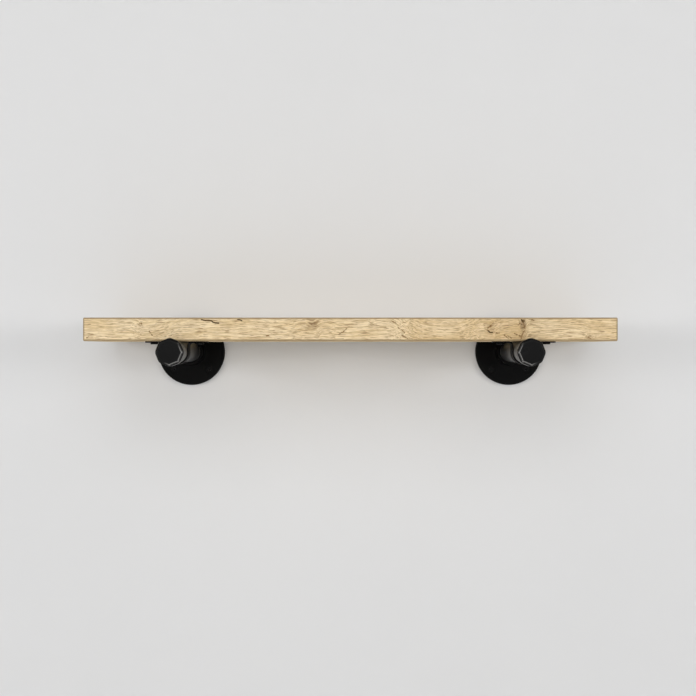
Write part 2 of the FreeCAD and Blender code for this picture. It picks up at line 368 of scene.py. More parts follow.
def shade(level):
    """A neutral colour."""
    return (level, level, level, 1.0)


def black_coat(name, level, roughness, specular, grain_size, grain_depth, bare_and_highlight=0.13):
    """Satin black coat on iron or steel: faint mottling, fine grain, and paler marks that are partly
    scuffed edges and partly painted highlights and sheen.

    level is the coat's own colour and bare_and_highlight the paler colour of the scuffs and painted
    highlights.
    The grain's size and depth are in millimetres.
    """
    s = Shader(name)
    place = s.place()
    cloud = s.noise(place, 0.09, 4.0, 0.6)
    grain = s.noise(place, 1 / grain_size, 4.0, 0.62)
    speck = s.noise(place, 2.6 / grain_size, 2.0)
    wear_and_highlight = s.attribute("wear_and_highlight").outputs["Fac"]
    patchy = s.span(s.noise(place, 0.9, 4.0, 0.65), 0.32, 0.60, 0.55, 1.0)
    rubbed_and_highlit = s.math("MULTIPLY", wear_and_highlight, patchy)
    base = s.mix(cloud, shade(level * 0.7), shade(level * 1.4))
    base = s.mix(s.span(speck, 0.62, 0.80, 0.0, 0.35), base, shade(level * 2.5))
    # Paler where the attribute says: scuffed edges, and painted highlights and sheen where light
    # would catch.
    base = s.mix(s.math("MULTIPLY", rubbed_and_highlit, 0.75), base, (bare_and_highlight, bare_and_highlight * 0.98, bare_and_highlight * 0.94, 1.0))
    gloss = s.span(cloud, 0.3, 0.7, roughness - 0.04, roughness + 0.06)
    relief = s.math("ADD", grain, s.math("MULTIPLY", cloud, 1.5))
    s.set(Base_Color=base, Roughness=gloss, IOR=1.5, Normal=s.bump(relief, grain_depth))
    s.surface.inputs["Specular IOR Level"].default_value = specular
    return s.material


def black_oxide(name):
    """Dark, slightly oily steel of the screws, paler on the heads: partly driver scuffing, partly a
    painted highlight.
    """
    s = Shader(name)
    place = s.place()
    cloud = s.noise(place, 0.5, 3.0)
    fine = s.noise(place, 4.0, 3.0, 0.6)
    wear_and_highlight = s.attribute("wear_and_highlight").outputs["Fac"]
    rubbed_and_highlit = s.math("MULTIPLY", wear_and_highlight, s.span(fine, 0.42, 0.62))
    base = s.mix(cloud, shade(0.0015), shade(0.0030))
    # Painted highlight, with some driver scuffing, on the screw heads.
    base = s.mix(s.math("MULTIPLY", rubbed_and_highlit, 0.5), base, shade(0.06))
    s.set(Base_Color=base, Roughness=s.span(fine, 0.3, 0.7, 0.26, 0.40), Normal=s.bump(fine, 0.02))
    s.surface.inputs["Specular IOR Level"].default_value = 0.05
    return s.material


def timber(name):
    """Pale sanded timber. The mesh carries the way the wood grew, in five attributes:

    grain is (along, radial, tangential) in millimetres, bent round the knots; tone is the
    broad darkening; marks holds how knotty a point is and how many millimetres it is from
    the nearest open crack and the nearest brown streak; arris is 1 on the rounded edges,
    which are drawn darker, and face is 1 off the front edge, where the year rings show more and the
    fibres are longer.
    """
    s = Shader(name)
    grain = s.attribute("grain").outputs["Vector"]
    tone = s.attribute("tone").outputs["Fac"]
    arris = s.attribute("arris").outputs["Fac"]
    face = s.attribute("face").outputs["Fac"]
    marks = s.node("ShaderNodeSeparateXYZ")
    s.feed(marks.inputs[0], s.attribute("marks").outputs["Vector"])
    knot, crack_gap, streak_gap = marks.outputs

    parts = s.node("ShaderNodeSeparateXYZ")
    s.feed(parts.inputs[0], grain)
    drift = s.noise(s.scaled(grain, (1 / 38, 1 / 6, 1 / 14)), 1.0, 3.0, 0.55)
    radial = s.math("ADD", parts.outputs[1], s.math("MULTIPLY", drift, 3.2))
    years = s.math("DIVIDE", radial, 1.9)
    season = s.math("FRACT", years)
    late = s.math("MULTIPLY", s.span(season, 0.35, 0.85), s.span(season, 0.90, 1.0, 1.0, 0.0))
    strength = s.node("ShaderNodeTexWhiteNoise", noise_dimensions="1D")
    s.feed(strength.inputs["W"], s.math("FLOOR", years))
    late = s.math("MULTIPLY", late, s.span(strength.outputs["Value"], 0.0, 1.0, 0.2, 1.0))
    broken = s.noise(s.scaled(grain, (1 / 17, 1 / 2.2, 1 / 2.2), (6, 2, 9)), 1.0, 2.0)
    late = s.math("MULTIPLY", late, s.span(broken, 0.38, 0.62, 0.25, 1.0))

    comb = s.noise(s.scaled(grain, (1 / 26, 1 / 1.15, 1 / 1.15), (7, 3, 1)), 1.0, 2.0, 0.6)
    fibre = s.noise(s.scaled(grain, (1 / 22, 1 / 0.5, 1 / 0.5)), 1.0, 4.0, 0.6)
    crowd = s.noise(s.scaled(grain, (1 / 30, 1 / 7, 1 / 9), (2, 5, 8)), 1.0, 2.0)
    dash = s.noise(s.scaled(grain, (1 / 9, 1 / 0.8, 1 / 0.8), (1, 9, 4)), 1.0, 1.5, 0.5)
    dash = s.math("MULTIPLY", s.span(dash, 0.585, 0.655), s.span(crowd, 0.36, 0.62, 0.35, 1.0))
    gleam = s.noise(s.scaled(grain, (1 / 18, 1 / 0.95, 1 / 0.95), (5, 6, 2)), 1.0, 1.5, 0.5)
    gleam = s.span(gleam, 0.55, 0.64)
    hair = s.noise(s.scaled(grain, (1 / 11, 1 / 0.7, 1 / 0.7), (4, 2, 6)), 1.0, 1.0)
    hair = s.span(hair, 0.57, 0.64)
    patch = s.noise(s.scaled(grain, (1 / 60, 1 / 10, 1 / 18), (3, 1, 5)), 1.0, 2.0)

    bright = (0.980, 0.820, 0.570, 1.0)
    pale = (0.960, 0.800, 0.540, 1.0)
    straw = (0.900, 0.715, 0.430, 1.0)
    tan = (0.640, 0.460, 0.245, 1.0)
    honey = (0.540, 0.372, 0.182, 1.0)
    amber = (0.520, 0.310, 0.095, 1.0)
    dull = (0.440, 0.300, 0.140, 1.0)
    brown = (0.345, 0.215, 0.100, 1.0)
    arris_brown = (0.330, 0.235, 0.120, 1.0)
    bark = (0.230, 0.122, 0.036, 1.0)
    deep = (0.130, 0.078, 0.034, 1.0)
    crack_shadow = (0.100, 0.055, 0.018, 1.0)
    base = s.mix(s.span(patch, 0.3, 0.7), pale, straw)
    combed = s.math("MULTIPLY", s.span(comb, 0.36, 0.66), s.span(face, 0.0, 1.0, 0.54, 0.42))
    base = s.mix(combed, base, dull)
    ringing = s.math("ADD", s.span(face, 0.0, 1.0, 0.28, 0.75), tone)
    base = s.mix(s.math("MULTIPLY", late, ringing), base, honey)
    base = s.mix(s.math("MULTIPLY", gleam, 0.60), base, bright)
    base = s.mix(s.span(fibre, 0.3, 0.8, 0.0, 0.35), base, tan)
    base = s.mix(tone, base, amber)
    base = s.mix(s.math("MULTIPLY", dash, s.span(face, 0.0, 1.0, 0.64, 0.32)), base, brown)
    base = s.mix(s.math("MULTIPLY", hair, s.span(face, 0.0, 1.0, 0.76, 0.30)), base, brown)

    swirl = s.span(s.noise(s.scaled(grain, (1 / 5, 1 / 1.3, 1 / 3)), 1.0, 2.0), 0.42, 0.60)
    ringed = s.math("MULTIPLY", knot, s.math("ADD", 0.45, swirl), clamp=True)
    base = s.mix(ringed, base, brown)
    core = s.math("MULTIPLY", s.span(knot, 0.5, 1.0), s.span(swirl, 0.0, 1.0, 0.3, 1.0))
    base = s.mix(core, base, deep)

    ragged = s.noise(s.scaled(grain, (1 / 2.2, 1 / 1.6, 1 / 1.6), (8, 8, 3)), 1.0, 2.0)
    streak = s.span(s.math("ADD", streak_gap, s.math("MULTIPLY", ragged, 3.0)), 1.50, 2.35, 1.0, 0.0)
    base = s.mix(s.math("MULTIPLY", streak, 0.9), base, bark)
    # Painted shade inside the open cracks, which are also sunk into the edge.
    crack = s.span(s.math("ADD", crack_gap, s.math("MULTIPLY", ragged, 0.3)), 0.65, 1.05, 1.0, 0.0)
    base = s.mix(crack, base, crack_shadow)
    # The rounded arrises are drawn darker brown.
    arris_darkening = s.math("MULTIPLY", arris, s.span(comb, 0.3, 0.7, 0.75, 1.0))
    base = s.mix(arris_darkening, base, arris_brown)

    rough = s.span(fibre, 0.2, 0.8, 0.52, 0.68)
    height = s.math("MULTIPLY", fibre, 0.3)
    height = s.math("ADD", height, s.math("MULTIPLY", gleam, 0.5))
    height = s.math("SUBTRACT", height, s.math("MULTIPLY", s.math("ADD", dash, streak), 0.9))
    height = s.math("SUBTRACT", height, s.math("MULTIPLY", comb, 1.1))
    s.set(Base_Color=base, Roughness=rough, Normal=s.bump(height, 0.20))
    s.surface.inputs["Specular IOR Level"].default_value = 0.20
    return s.material


# ---------------------------------------------------------------- board


def smooth(x, low, high):
    """0 below low, 1 above high, and a smooth step between them."""
    t = np.clip((x - low) / (high - low), 0, 1)
    return t * t * (3 - 2 * t)


def wave(x, length, phase):
    return np.sin(x * 2 * math.pi / length + phase)


# The tree's pith runs along the board, below it: out from the wall and above the pipes' axes.
PITH_OUT = 78
PITH_HEIGHT = -52
YEAR_RING_RADIUS = 80

# Knots on the front edge run back into the board: along, above middle, half width, half
# height, how far the grain swells round them, and how dark they are.
FRONT_KNOTS = (
    (-42, 5.5, 6.5, 6.5, 2.8, 0.70),
    (-37, -6.0, 2.5, 4.0, 2.0, 0.24),
    (24, 6.5, 3.0, 3.5, 1.5, 0.24),
    (-233, -1.0, 9.0, 8.0, 2.0, 0.12),
    (157, 1.0, 5.5, 6.5, 4.2, 0.40),
    (194, 6.0, 3.4, 6.5, 5.0, 1.00),
    (195, -6.0, 2.6, 5.0, 3.0, 0.36),
    (268.5, -9.0, 4.0, 3.0, 3.0, 0.52),
)

# Knots on the wide faces run up and down: along, out from the wall, size, swell and darkness.
FACE_KNOTS = (
    (-214, 66, 8.0, 9.0, 0.80),
    (-96, 118, 5.0, 6.0, 0.55),
    (18, 47, 10.0, 11.0, 0.75),
    (121, 96, 6.0, 7.0, 0.65),
    (238, 58, 7.0, 8.0, 0.70),
)

# Open cracks on the front edge, as runs of (along, above middle).
CRACKS = (
    ((-167.5, 10.9), (-163.0, 9.9), (-155.8, 9.5), (-154.4, 8.0), (-151.5, 7.3), (-148.0, 7.1)),
    ((-126.5, 10.8), (-124.0, 10.6), (-122.0, 9.8)),
    ((155.0, -1.8), (156.8, -3.6), (159.6, -3.6)),
    ((192.2, 10.6), (193.2, 9.2)),
)

# Brown streaks on the front edge: bark pockets and resin, as the cracks.
STREAKS = (
    ((-295.8, -9.5), (-294.5, -8.2)),
    ((-237.0, 6.8), (-234.5, 6.2)),
    ((-226.0, -1.8), (-222.5, -6.8)),
    ((-94.5, -7.2), (-91.0, -7.4)),
    ((-13.3, -6.0), (-10.2, -4.0), (-7.0, -2.2), (-4.0, 1.1)),
    ((45.5, 9.5), (51.0, 7.2), (54.5, 4.0)),
    ((54.0, 1.6), (58.0, -1.0), (61.0, -3.8)),
    ((57.5, -6.4), (64.0, -10.2)),
    ((64.8, 9.9), (67.0, 7.8), (69.4, 5.6)),
    ((161.2, 7.4), (158.4, 5.4), (157.2, 3.2), (154.6, 2.0), (154.0, -0.8), (156.4, -3.4)),
    ((163.5, -4.2), (167.0, -4.0)),
    ((172.5, -6.0), (178.0, -10.8)),
    ((176.5, -7.0), (181.0, -10.0)),
    ((184.0, -4.6), (191.5, -8.2)),
    ((192.0, 11.2), (194.4, 6.2), (195.8, 1.4)),
    ((190.6, 7.4), (188.6, 4.8)),
    ((195.4, -1.5), (192.0, -8.4), (191.8, -11.0)),
    ((203.5, 10.8), (206.0, 10.2)),
    ((267.0, -8.8), (269.6, -10.0)),
)


def distance_to_run(x, z, run):
    """Distance in the front face from each point to a run of straight pieces."""
    nearest = np.full(len(x), 1e9)
    for (ax, az), (bx, bz) in zip(run, run[1:]):
        dx, dz = bx - ax, bz - az
        t = np.clip(((x - ax) * dx + (z - az) * dz) / (dx * dx + dz * dz), 0, 1)
        nearest = np.minimum(nearest, np.hypot(x - ax - t * dx, z - az - t * dz))
    return nearest


def growth(points):
    """How the wood grew at points of the board, in mm, by the name of each attribute."""
    x, out, z = points[:, 0], -points[:, 1], points[:, 2]
    above = z - BOARD_MIDDLE
    depth = np.maximum(BOARD_FRONT - out, 0)
    near_front = np.exp(-depth / 28.0)

    pith_out = PITH_OUT + 3.0 * wave(x, 830, 0.6) + 1.2 * wave(x, 310, 2.1)
    pith_z = PITH_HEIGHT + 2.5 * wave(x, 640, 1.9) + 0.8 * wave(x, 205, 0.3)
    radial = np.hypot(out - pith_out, z - pith_z)
    tangential = np.arctan2(out - pith_out, z - pith_z) * YEAR_RING_RADIUS
    radial += 0.3 * wave(x, 92, 0.4) + 0.12 * wave(x, 41, out / 15)

    # The rings slope across the front edge in places, and run level again further back.
    fall = 13.0 * smooth(x, 36, 86) - 9.0 * smooth(x, 118, 160) - 4.0 * smooth(x, 160, 200)
    fall += 3.0 * smooth(x, -250, -225) - 5.0 * smooth(x, -222, -185) + 2.0 * smooth(x, -160, -90)
    fall -= 1.8 * smooth(x, -72, -50) - 2.2 * smooth(x, -34, -10)
    radial += fall * near_front

    knot = np.zeros(len(x))
    for along, up, wide, high, swell, dark in FRONT_KNOTS:
        square = ((x - along) / wide) ** 2 + ((above - up) / high) ** 2
        radial += swell * np.exp(-square / 1.6) * near_front
        knot += dark * np.exp(-(square ** 2) * 0.8) * near_front
    for along, away, size, swell, dark in FACE_KNOTS:
        square = ((x - along) / (size * 1.5)) ** 2 + ((out - away) / size) ** 2
        radial += swell * np.exp(-square / 1.8)
        knot += dark * np.exp(-square * 2.2)

    tone = 0.18 * smooth(x, 60, 72) + 0.17 * smooth(x, 148, 158) - 0.31 * smooth(x, 190, 203)
    tone = tone * near_front + 0.05 + 0.04 * wave(x, 370, out / 60)

    gaps = []
    for runs in (CRACKS, STREAKS):
        gap = np.full(len(x), 4.0)
        for run in runs:
            gap = np.minimum(gap, distance_to_run(x, above, run))
        gaps.append(gap + 3.0 * smooth(depth, 0.3, 0.9))

    face = smooth(depth, 0.3, 0.6)
    along = np.where(face > 0.5, x * 0.4, x)
    low = BOARD_LOW + LOW_ARRIS_REACH
    high = BOARD_HIGH - HIGH_ARRIS_REACH
    outside = np.sort(np.maximum(np.maximum(low - points, points - high), 0), axis=1)
    return {
        "grain": np.stack([along, radial, tangential], 1),
        "tone": np.clip(tone, 0, 1),
        "marks": np.stack([np.clip(knot, 0, 1)] + gaps, 1),
        "arris": smooth(outside[:, 1], 0.0, 0.55),
        "face": face,
    }


def board_section():
    """Points of the board's outline in (out, z), and their outward normals, at full size."""
    flats = (
        ((BOARD_FRONT, BOARD_BOTTOM), (0, 1), (1, 0), BOARD_HIGH[2] - BOARD_BOTTOM, 0.33),
        ((BOARD_FRONT, BOARD_HIGH[2]), (-1, 0), (0, 1), BOARD_FRONT - BOARD_BACK, 4.0),
        ((BOARD_BACK, BOARD_HIGH[2]), (0, -1), (-1, 0), BOARD_HIGH[2] - BOARD_BOTTOM, 3.0),
        ((BOARD_BACK, BOARD_BOTTOM), (1, 0), (0, -1), BOARD_FRONT - BOARD_BACK, 4.0),
    )
    points, normals = [], []
    for corner, along, normal, length, step in flats:
        corner, along, normal = (np.array(v, float) for v in (corner, along, normal))
        centre = corner + BOARD_ARRIS * (along - normal)
        for i in range(1, 6):
            angle = math.radians(15 * i)
            tilt = math.sin(angle) * normal - math.cos(angle) * along
            points.append(centre + BOARD_ARRIS * tilt)
            normals.append(tilt)
        count = int((length - 2 * BOARD_ARRIS) / step)
        for i in range(count + 1):
            t = BOARD_ARRIS + (length - 2 * BOARD_ARRIS) * i / count
            points.append(corner + along * t)
            normals.append(normal)
    return np.array(points), np.array(normals)


def make_board(material):
    """The board: eased arrises, the way it grew as attributes, and cracks sunk in its edge."""
    section, normals = board_section()
    half = BOARD_HIGH[0]

    def station(x, inset):
        flat = section - normals * inset
        return np.stack([np.full(len(flat), x), -flat[:, 0], flat[:, 1]], 1)

    rings = []
    for step in range(1, 7):
        angle = math.radians(15 * step)
        reach = BOARD_ARRIS * (1 - math.cos(angle))
        rings.append(station(-half + reach, BOARD_ARRIS * (1 - math.sin(angle))))
    body = np.linspace(-half + BOARD_ARRIS, half - BOARD_ARRIS, 1000)
    rings += [station(x, 0.0) for x in body[1:-1]]
    rings += [r * np.array([-1, 1, 1]) for r in reversed(rings[:6])]

    # The ends close towards a line along the middle of the thickness.
    for end in (0, -1):
        edge = rings[end]
        spine = edge.copy()
        reach = BOARD_HIGH[2] - BOARD_MIDDLE
        spine[:, 1] = np.clip(edge[:, 1], BOARD_LOW[1] + reach, BOARD_HIGH[1] - reach)
        spine[:, 2] = BOARD_MIDDLE
        inner = [edge + (spine - edge) * t for t in (0.12, 0.3, 0.5, 0.75, 1.0)]
        rings = list(reversed(inner)) + rings if end == 0 else rings + inner
    points, faces = skin(rings)
    mesh = raw_mesh("board_timber", points, faces)

    place = places(mesh)
    grown = growth(place)
    knot, crack_gap, streak_gap = grown["marks"].T
    sunk = 0.9 * np.exp(-((crack_gap / 0.45) ** 2)) + 0.25 * np.exp(-((streak_gap / 0.4) ** 2))
    place[:, 1] += sunk + 0.12 * knot * smooth(-place[:, 1], BOARD_FRONT - 1, BOARD_FRONT)
    mesh.vertices.foreach_set("co", (place * MM).ravel())
    mesh.update()
    for key, values in grown.items():
        kind, field = ("FLOAT_VECTOR", "vector") if values.ndim == 2 else ("FLOAT", "value")
        mesh.attributes.new(key, kind, "POINT").data.foreach_set(field, values.ravel())
    return add_piece("board_timber", mesh, material, "board", sharp=60)


# ---------------------------------------------------------------- bracket pieces


def add_wear_and_highlight(mesh, rule):
    """Stores how pale each point is drawn, for scuffs and for painted highlights, by a rule that
    takes points in millimetres.
    """
    value = rule(places(mesh)).astype(np.float32)
    mesh.attributes.new("wear_and_highlight", "FLOAT", "POINT").data.foreach_set("value", value)


def near(value, target, reach):
    """1 at the target, falling to 0 at the reach."""
    return np.clip(1 - np.abs(value - target) / reach, 0, 1)


def make_pipe(side, centre, material):
    """The pipe, with a helical thread at both ends that shows a little at each fitting."""
    rings = [ring(PIPE_BACK, PIPE_BORE), ring(PIPE_BACK, THREAD_CREST - THREAD_DEPTH)]
    rings += thread_rings(PIPE_BACK + 0.1, BACK_THREAD_END, THREAD_CREST, THREAD_DEPTH,
                          THREAD_PITCH, None, PIPE_RADIUS)
    plain = np.linspace(BACK_THREAD_END + 1.0, FRONT_THREAD_START - 1.0, 24)
    rings += [ring(out, PIPE_RADIUS) for out in plain]
    rings += thread_rings(FRONT_THREAD_START, PIPE_FRONT - 0.1, THREAD_CREST, THREAD_DEPTH,
                          THREAD_PITCH, PIPE_RADIUS, None)
    rings += [ring(PIPE_FRONT, THREAD_CREST - THREAD_DEPTH), ring(PIPE_FRONT, PIPE_BORE)]
    points, faces = skin(rings, loop=True)
    mesh = raw_mesh(side + "_pipe_tube", moved(points, (centre, 0, 0)), faces)

    def rule(place):
        out = -place[:, 1]
        radius = np.hypot(place[:, 0] - centre, place[:, 2])
        back = smooth(-out, -BACK_THREAD_END, 2.8 - BACK_THREAD_END)
        front = smooth(out, FRONT_THREAD_START + 1.0, FRONT_THREAD_START + 2.5)
        crests = np.maximum(back, front) * smooth(radius, THREAD_CREST - 0.4, THREAD_CREST - 0.05)
        # Thread crests are scuffed paler; the tube's front part is drawn paler too, a painted sheen
        # that fades out towards the flange.
        return crests * 0.8 + smooth(out, PAINTED_SHEEN_FROM, PAINTED_SHEEN_TO) * 0.78

    add_wear_and_highlight(mesh, rule)
    return add_piece(side + "_pipe_tube", mesh, material, side + "_pipe")


def make_flange(side, centre, material):
    """The wall flange: plate, filleted hub with a soft cast rim, and countersunk holes."""
    outer = [(0.0, FLANGE_RADIUS - 2.5), (0.0, FLANGE_RADIUS), (FLANGE_PLATE, FLANGE_RADIUS)]
    outer += [(FLANGE_PLATE, FLANGE_RADIUS - 3.0), (FLANGE_PLATE, HUB_BASE + 6.0)]
    face = soften(outer, 1.5, 5)
    hub = soften([(FLANGE_PLATE, HUB_BASE + 6.0), (FLANGE_PLATE, HUB_BASE),
                  (FLANGE_HEIGHT - 3.0, HUB_RIM + 0.3)], 2.9, 8)
    rim = soften([(FLANGE_HEIGHT - 3.0, HUB_RIM + 0.3), (FLANGE_HEIGHT, HUB_RIM),
                  (FLANGE_HEIGHT, FITTING_BORE + 0.6), (FLANGE_HEIGHT - 0.8, FITTING_BORE)], 0.9, 5)
    back = [(1.0, FITTING_BORE), (0.0, FITTING_BORE + 0.4), (0.0, FLANGE_RADIUS - 12)]
    outline = face + hub[1:] + rim[1:] + back
    rings = [ring(out, radius, 120) for out, radius in outline]
    points, faces = skin(rings, loop=True)
    depth = COUNTERSINK - SCREW_HOLE
    hole = [
        (-1, SCREW_HOLE),
        (FLANGE_PLATE - depth, SCREW_HOLE),
        (FLANGE_PLATE - 0.15, COUNTERSINK - 0.15),
        (FLANGE_PLATE + 0.05, COUNTERSINK + 0.35),
        (FLANGE_PLATE + 1, COUNTERSINK + 0.9),
    ]
    hole_rings = [ring(out, radius, 40) for out, radius in hole]
    hole_rings = [pole(-1)] + hole_rings + [pole(FLANGE_PLATE + 1)]
    hole_points, hole_faces = skin(hole_rings)
    cutters = []
    for degrees in SCREW_ANGLES:
        spot = moved(hole_points, (SCREW_CIRCLE, 0, 0))
        cutters.append(raw_mesh("hole", moved(spot, turn=degrees), hole_faces))
    mesh = carved(raw_mesh("flange", points, faces), cutters)
    mesh.transform(Matrix.Translation((centre * MM, 0, 0)))

    def rule(place):
        out = -place[:, 1]
        radius = np.hypot(place[:, 0] - centre, place[:, 2])
        rim = near(radius, FLANGE_RADIUS - 0.5, 1.2) * smooth(out, FLANGE_PLATE - 1.6, FLANGE_PLATE)
        hub = near(radius, HUB_RIM - 0.3, 0.8) * smooth(out, FLANGE_HEIGHT - 1.0, FLANGE_HEIGHT)
        return rim * 0.10 + hub * 0.05

    add_wear_and_highlight(mesh, rule)
    return add_piece(side + "_flange_casting", mesh, material, side + "_flange")


def octagon(out, flat, corner):
    """A ring of an octagon with rounded corners; a corner points up. flat is the apothem."""
    points = []
    for i in range(8):
        middle = i * math.pi / 4
        reach = (flat - corner) / math.cos(math.pi / 8)
        centre = (reach * math.cos(middle), reach * math.sin(middle))
        for k in range(7):
            angle = middle - math.pi / 8 + k * math.pi / 24
            points.append((centre[0] + corner * math.cos(angle), -out,
                           centre[1] + corner * math.sin(angle)))
        side = (flat - corner) * math.tan(math.pi / 8)
        normal = middle + math.pi / 8
        for k in range(1, 6):
            slide = side * (1 - k / 3)
            points.append((flat * math.cos(normal) + slide * math.sin(normal), -out,
                           flat * math.sin(normal) - slide * math.cos(normal)))
    return np.array(points)


def round_like(template, out, radius):
    """A circle whose points lie at the same angles as the template's."""
    angle = np.arctan2(template[:, 2], template[:, 0])
    return np.stack([radius * np.cos(angle), np.full(len(angle), -out), radius * np.sin(angle)], 1)


def make_end_cap(side, centre, material):
    """The octagonal end cap with its bevelled face, neck, band and blind bore."""

    def facet(out, inset):
        return octagon(out, CAP_FLAT - inset, CAP_CORNER - inset)

    rings = [pole(CAP_FACE)]
    for share in (0.25, 0.5, 0.75, 0.88):
        flat = (CAP_FLAT - CAP_BEVEL) * share
        rings.append(octagon(CAP_FACE, flat, (CAP_CORNER - CAP_BEVEL) * share))
    bevel = soften([(CAP_FACE, CAP_BEVEL + 1.0), (CAP_FACE, CAP_BEVEL), (CAP_FACE - CAP_BEVEL, 0.0),
                    (CAP_FACE - CAP_BEVEL - 1.0, 0.0)], 0.55, 5)
    rings += [facet(out, inset) for out, inset in bevel]
    rings += [facet(out, 0.0) for out in np.linspace(CAP_FACE - 4, CAP_OCTAGON_BACK + 1.6, 4)]
    rings += [facet(CAP_OCTAGON_BACK + back, inset) for back, inset in
              ((0.9, 0.03), (0.5, 0.16), (0.2, 0.38), (0.05, 0.62))]
    template = rings[-1]
    band_front = CAP_BACK + CAP_BAND_WIDTH
    skirt = soften([
        (CAP_OCTAGON_BACK, CAP_NECK - 0.2),
        (CAP_OCTAGON_BACK - 0.8, CAP_NECK - 0.35),
        (band_front + 1.0, CAP_NECK - 0.2),
        (band_front, CAP_BAND),
        (CAP_BACK, CAP_BAND),
        (CAP_BACK, FITTING_BORE + 0.5),
        (CAP_BACK + 1.0, FITTING_BORE),
    ], 0.9, 5)
    rings += [round_like(template, out, radius) for out, radius in skirt]
    bore_end = CAP_FACE - CAP_WALL
    rings += [round_like(template, out, FITTING_BORE) for out in (CAP_OCTAGON_BACK - 1.5, bore_end)]
    rings.append(pole(bore_end))
    points, faces = skin(rings)
    mesh = raw_mesh(side + "_end_cap_iron", moved(points, (centre, 0, 0)), faces)

    def rule(place):
        out = -place[:, 1]
        angle = (np.arange(8) + 0.5) * math.pi / 4
        flats = np.outer(place[:, 0] - centre, np.cos(angle)) + np.outer(place[:, 2], np.sin(angle))
        flat = flats.max(axis=1)
        # Painted highlights: the bevel's edge and the cap's body behind the face are drawn paler,
        # strongly on the side facing the shelf's middle and downwards, faintly elsewhere.
        edge = near(flat, CAP_FLAT - CAP_BEVEL - 0.1, 0.5)
        edge *= smooth(out, CAP_FACE - 0.8, CAP_FACE - 0.3)
        edge += 0.42 * smooth(CAP_FACE - CAP_BEVEL - out, 0.6, 1.6)
        inward = -math.copysign(1, centre) * (place[:, 0] - centre) / CAP_FLAT
        return edge * (0.04 + 1.05 * smooth(0.9 * inward - 0.6 * place[:, 2] / CAP_FLAT, 0.0, 0.7))

    add_wear_and_highlight(mesh, rule)
    return add_piece(side + "_end_cap_iron", mesh, material, side + "_end_cap", 24)


def strap_line():
    """The strap's middle line from tab to tab, as (across, up), with its outward normals."""
    inner = PIPE_RADIUS + 0.1
    middle = inner + STRAP_THICKNESS / 2
    level = BOARD_BOTTOM - STRAP_THICKNESS / 2
    bend = STRAP_BEND + STRAP_THICKNESS / 2
    corner = (middle + bend, level - bend)
    line = []
    for x in np.linspace(STRAP_HALF_SPAN, corner[0], 22)[:-1]:
        line.append((x, level, 0.0, -1.0))
    for angle in np.linspace(90, 180, 10)[:-1]:
        c, s = math.cos(math.radians(angle)), math.sin(math.radians(angle))
        line.append((corner[0] + bend * c, corner[1] + bend * s, -c, -s))
    for z in np.linspace(corner[1], 0, 5)[:-1]:
        line.append((middle, z, 1.0, 0.0))
    for angle in np.linspace(0, -90, 17):
        c, s = math.cos(math.radians(angle)), math.sin(math.radians(angle))
        line.append((middle * c, middle * s, c, s))
    mirrored = [(-x, z, -nx, nz) for x, z, nx, nz in reversed(line[:-1])]
    return np.array(line + mirrored)


def strap_width(x):
    """Half the strap's width at a distance across, narrowing round the tabs' corners."""
    left = STRAP_HALF_SPAN - abs(x)
    if left >= STRAP_CORNER:
        return STRAP_WIDTH / 2
    drop = STRAP_CORNER - math.sqrt(max(STRAP_CORNER ** 2 - (STRAP_CORNER - left) ** 2, 0))
    return STRAP_WIDTH / 2 - drop


def make_strap(side, centre, material):
    """The U-shaped strap of rolled strip, its edges softened, with a hole in each tab."""
    line = strap_line()
    ends = np.array([0.0, 0.12, 0.45, 1.0, 1.8, 2.8, 3.8])
    tips = [(STRAP_HALF_SPAN - e, line[0][1], 0.0, -1.0) for e in ends]
    keep = [row for row in line if abs(row[0]) < STRAP_HALF_SPAN - STRAP_CORNER + 0.3]
    other = [(-x, z, nx, nz) for x, z, nx, nz in reversed(tips)]
    rings = []
    soft = 0.35
    for x, z, nx, nz in tips + keep + other:
        wide = strap_width(x)
        left = STRAP_HALF_SPAN - abs(x)
        shrink = soft - math.sqrt(max(soft ** 2 - max(soft - left, 0) ** 2, 0))
        thick = STRAP_THICKNESS / 2 - shrink
        points = []
        for qx, qn in ((1, 1), (-1, 1), (-1, -1), (1, -1)):
            start = {(1, 1): 0, (-1, 1): 90, (-1, -1): 180, (1, -1): 270}[(qx, qn)]
            for k in range(4):
                angle = math.radians(start + 30 * k)
                along = qx * (wide - soft) + soft * math.cos(angle)
                off = qn * (thick - soft) + soft * math.sin(angle)
                points.append((x + nx * off, -STRAP_MIDDLE + along, z + nz * off))
        rings.append(np.array(points))
    points, faces = skin(rings)
    count = len(rings[0])
    faces.append(list(range(count)))
    faces.append(list(range(len(points) - count, len(points))))
    body = raw_mesh("strap", points, faces)
    cutters = []
    for hand in (1, -1):
        walls = [ring(-8, STRAP_HOLE, 40), ring(8, STRAP_HOLE, 40)]
        drill, drill_faces = skin([pole(-8)] + walls + [pole(8)])
        drill = moved(drill, turn=90, axis="X")
        spot = (hand * STRAP_SCREW_OFFSET, -STRAP_MIDDLE, BOARD_BOTTOM)
        cutters.append(raw_mesh("drill", moved(drill, spot), drill_faces))
    mesh = carved(body, cutters)
    mesh.transform(Matrix.Translation((centre * MM, 0, 0)))

    def rule(place):
        edge = near(np.abs(-place[:, 1] - STRAP_MIDDLE), STRAP_WIDTH / 2, 0.45)
        return edge * 0.08

    add_wear_and_highlight(mesh, rule)
    return add_piece(side + "_strap_strip", mesh, material, side + "_strap", 40)


